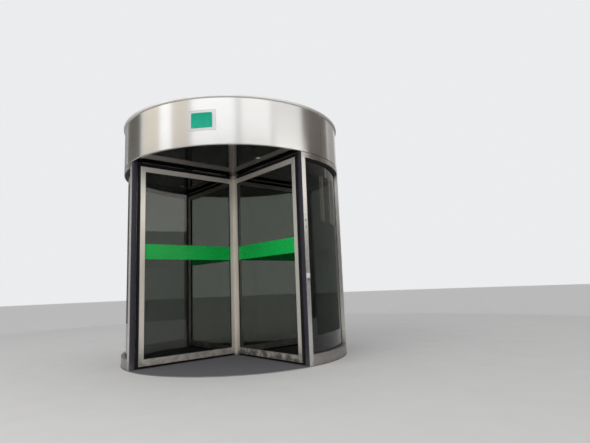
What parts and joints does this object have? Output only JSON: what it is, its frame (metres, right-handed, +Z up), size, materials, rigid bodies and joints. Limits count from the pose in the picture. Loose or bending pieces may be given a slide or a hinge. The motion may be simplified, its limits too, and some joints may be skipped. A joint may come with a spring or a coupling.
{
  "type": "revolving door",
  "caption": "Automatic revolving door: a steel-framed drum with curved glass walls and a deep round header over a turning rotor of framed glass wings with brush seals.",
  "frame": {"origin": "centre of the floor pan's underside, on the rotor's axis at floor level", "axes": "+Z up along the rotor's axis; -Y towards the street, through the middle of the front opening; +X to the right seen from the street, through the right side post"},
  "size_m": [3.2398, 3.2398, 3.333],
  "materials": {
    "brushed_steel": "brushed",
    "fascia_steel": "brushed",
    "frame_steel": "satin",
    "painted_steel": "matte",
    "dark_metal": "satin",
    "light_metal": "satin",
    "tinted_glass": "polished",
    "dark_rubber": "matte",
    "entrance_mat": "matte",
    "black_gloss": "gloss",
    "white_plastic": "satin",
    "plate_backing": "satin",
    "green_enamel": "satin"
  },
  "bodies": {
    "drum": {"floor_pan": "brushed_steel", "floor_mat": "entrance_mat", "floor_bearing": "brushed_steel", "kick_left": "brushed_steel", "kick_right": "brushed_steel", "top_rail_left": "brushed_steel", "top_rail_right": "brushed_steel", "post_front_left": "brushed_steel", "post_front_right": "brushed_steel", "post_rear_left": "brushed_steel", "post_rear_right": "brushed_steel", "side_posts": "brushed_steel", "glass_front_left": "tinted_glass", "glass_front_right": "tinted_glass", "glass_rear_left": "tinted_glass", "glass_rear_right": "tinted_glass", "edge_front": "dark_rubber", "edge_rear": "dark_rubber", "switch_plate": "white_plastic", "post_locks": "dark_metal", "fascia_front": "fascia_steel", "fascia_right": "fascia_steel", "fascia_rear": "fascia_steel", "fascia_left": "fascia_steel", "top_lip": "fascia_steel", "roof_cover": "painted_steel", "header_frame": "painted_steel", "ceiling_disc": "black_gloss", "ceiling_lights": "light_metal", "shaft_collar": "dark_metal", "plate_back": "plate_backing", "number_plate": "green_enamel"},
    "rotor": {"column": "frame_steel", "wing_1_stiles": "frame_steel", "wing_1_rails": "frame_steel", "wing_1_glass": "tinted_glass", "wing_2_stiles": "frame_steel", "wing_2_rails": "frame_steel", "wing_2_glass": "tinted_glass", "wing_3_stiles": "frame_steel", "wing_3_rails": "frame_steel", "wing_3_glass": "tinted_glass", "wing_4_stiles": "frame_steel", "wing_4_rails": "frame_steel", "wing_4_glass": "tinted_glass", "wing_seals": "dark_rubber"}
  },
  "joints": [
    {"name": "rotor_turn", "type": "hinge", "parent": "drum", "child": "rotor", "pos_m": [0, 0, 0.03], "axis": [0, 0, 1], "continuous": true}
  ]
}
